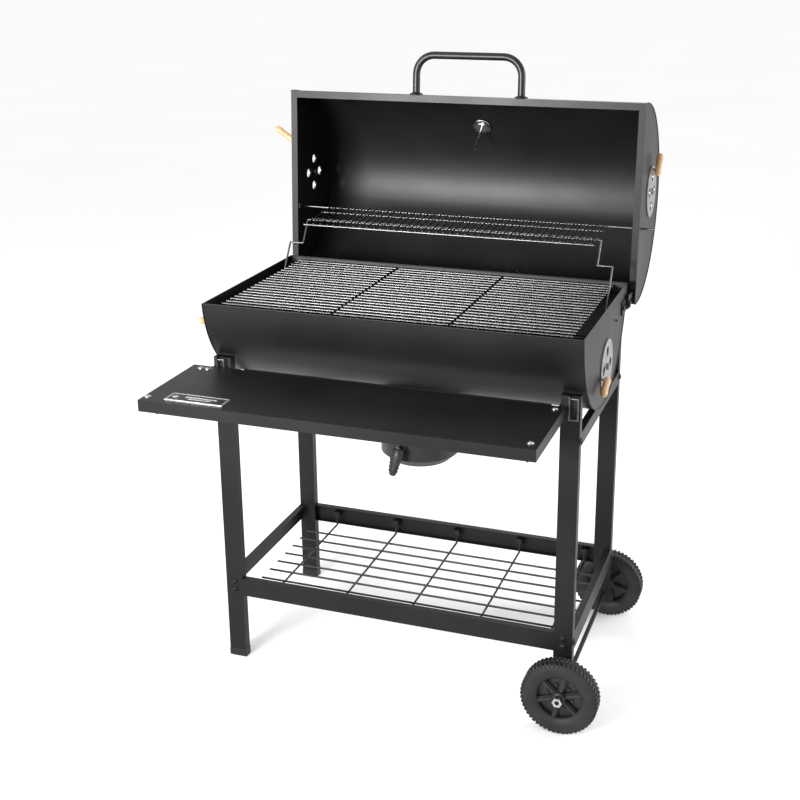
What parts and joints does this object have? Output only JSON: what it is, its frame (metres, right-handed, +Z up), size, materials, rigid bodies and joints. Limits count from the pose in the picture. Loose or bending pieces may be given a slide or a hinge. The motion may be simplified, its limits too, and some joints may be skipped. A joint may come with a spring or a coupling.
{
  "type": "charcoal barrel grill cart",
  "caption": "Half-barrel charcoal grill on a wheeled frame, with a hinged lid, warming rack, folding front shelf and ash can.",
  "frame": {"origin": "on the ground, midway between the four legs", "axes": "+X towards the wheel end, +Y to the back, +Z up"},
  "size_m": [0.9825, 0.9438, 1.3313],
  "materials": {
    "black_paint": "satin heat-resistant paint",
    "chrome_wire": "bright plated wire",
    "dark_wire": "satin black coated wire",
    "steel": "satin plated steel",
    "bright_bolt": "bright plated",
    "wood_grip": "pale turned wood, light varnish",
    "wheel_plastic": "moulded dark grey",
    "cap_plastic": "moulded black",
    "dial": "white dial",
    "needle": "red needle",
    "lens": "clear",
    "badge": "satin blank plate"
  },
  "bodies": {
    "cart": {"leg_front_left": "black_paint", "leg_back_left": "black_paint", "leg_front_right": "black_paint", "leg_back_right": "black_paint", "foot_caps": "cap_plastic", "rail_lower_front": "black_paint", "rail_lower_back": "black_paint", "rail_lower_left": "black_paint", "rail_lower_right": "black_paint", "rail_upper_left": "black_paint", "rail_upper_right": "black_paint", "bottom_shelf_grid": "dark_wire", "barrel_shell": "black_paint", "barrel_end_left": "black_paint", "barrel_end_right": "black_paint", "grate_ledges": "black_paint", "charcoal_grate": "dark_wire", "ash_collar": "black_paint", "hinge_bracket_left": "black_paint", "hinge_bracket_right": "black_paint", "shelf_bracket_left": "black_paint", "shelf_bracket_right": "black_paint", "lock_hook_left": "chrome_wire", "lock_hook_right": "chrome_wire", "axle": "black_paint", "axle_nuts": "bright_bolt"},
    "lid": {"lid_shell": "black_paint", "lid_end_left": "black_paint", "lid_end_right": "black_paint", "lid_handle": "black_paint", "thermometer_housing": "bright_bolt", "thermometer_dial": "dial", "thermometer_lens": "lens", "thermometer_nut": "bright_bolt", "hinge_strap_left": "black_paint", "hinge_strap_right": "black_paint"},
    "needle": {"thermometer_needle": "needle"},
    "vent_body_left": {"vent_body_left_disc": "steel", "vent_body_left_grip": "wood_grip"},
    "vent_body_right": {"vent_body_right_disc": "steel", "vent_body_right_grip": "wood_grip"},
    "vent_lid_left": {"vent_lid_left_disc": "steel", "vent_lid_left_grip": "wood_grip"},
    "vent_lid_right": {"vent_lid_right_disc": "steel", "vent_lid_right_grip": "wood_grip"},
    "rack_frame": {"rack_frame": "chrome_wire"},
    "warming_rack": {"warming_rack": "chrome_wire"},
    "cooking_grate_left": {"cooking_grate_left": "chrome_wire"},
    "cooking_grate_middle": {"cooking_grate_middle": "chrome_wire"},
    "cooking_grate_right": {"cooking_grate_right": "chrome_wire"},
    "shelf": {"shelf_top": "black_paint", "shelf_arm_left": "black_paint", "shelf_arm_right": "black_paint", "shelf_bolts": "black_paint", "shelf_badge_plate": "badge"},
    "wheel_front": {"wheel_front": "wheel_plastic"},
    "wheel_back": {"wheel_back": "wheel_plastic"},
    "ash_can": {"ash_can": "black_paint", "ash_can_handle": "cap_plastic"}
  },
  "joints": [
    {"name": "lid_hinge", "type": "hinge", "parent": "cart", "child": "lid", "pos_m": [0, 0.19, 0.806], "axis": [1, 0, 0], "range_deg": [0, 93.5]},
    {"name": "rack_frame_swing", "type": "hinge", "parent": "cart", "child": "rack_frame", "pos_m": [0, 0.084, 0.798], "axis": [1, 0, 0], "range_deg": [0, 93.5]},
    {"name": "rack_level", "type": "hinge", "parent": "rack_frame", "child": "warming_rack", "pos_m": [0, 0.181, 0.947], "axis": [1, 0, 0], "range_deg": [-93.5, 0]},
    {"name": "needle_turn", "type": "hinge", "parent": "lid", "child": "needle", "pos_m": [0.002, 0.45535, 1.15691], "axis": [0, 0.7986, 0.6018], "range_deg": [0, 120]},
    {"name": "vent_body_left_turn", "type": "hinge", "parent": "cart", "child": "vent_body_left", "pos_m": [-0.404, -0.0075, 0.724], "axis": [1, 0, 0], "range_deg": [0, 45]},
    {"name": "vent_body_right_turn", "type": "hinge", "parent": "cart", "child": "vent_body_right", "pos_m": [0.408, -0.0075, 0.724], "axis": [1, 0, 0], "range_deg": [0, 45]},
    {"name": "vent_lid_left_turn", "type": "hinge", "parent": "lid", "child": "vent_lid_left", "pos_m": [-0.418, 0.38059, 1.02277], "axis": [1, 0, 0], "range_deg": [0, 45]},
    {"name": "vent_lid_right_turn", "type": "hinge", "parent": "lid", "child": "vent_lid_right", "pos_m": [0.422, 0.38059, 1.02277], "axis": [1, 0, 0], "range_deg": [0, 45]},
    {"name": "shelf_fold", "type": "hinge", "parent": "cart", "child": "shelf", "pos_m": [0, -0.233, 0.692], "axis": [1, 0, 0], "range_deg": [0, 90]},
    {"name": "wheel_front_spin", "type": "hinge", "parent": "cart", "child": "wheel_front", "pos_m": [0.387, -0.256, 0.082], "axis": [0, 1, 0], "continuous": true},
    {"name": "wheel_back_spin", "type": "hinge", "parent": "cart", "child": "wheel_back", "pos_m": [0.387, 0.256, 0.082], "axis": [0, 1, 0], "continuous": true},
    {"name": "ash_can_twist", "type": "hinge", "parent": "cart", "child": "ash_can", "pos_m": [0.002, -0.0215, 0.54], "axis": [0, 0, 1], "range_deg": [0, 30]},
    {"name": "grate_left_lift", "type": "slide", "parent": "cart", "child": "cooking_grate_left", "axis": [0, 0, 1], "range_m": [0, 0.008]},
    {"name": "grate_middle_lift", "type": "slide", "parent": "cart", "child": "cooking_grate_middle", "axis": [0, 0, 1], "range_m": [0, 0.008]},
    {"name": "grate_right_lift", "type": "slide", "parent": "cart", "child": "cooking_grate_right", "axis": [0, 0, 1], "range_m": [0, 0.008]}
  ],
  "couplings": [
    {"joint": "rack_frame_swing", "follows": "lid_hinge", "ratio": 1},
    {"joint": "rack_level", "follows": "lid_hinge", "ratio": -1}
  ]
}
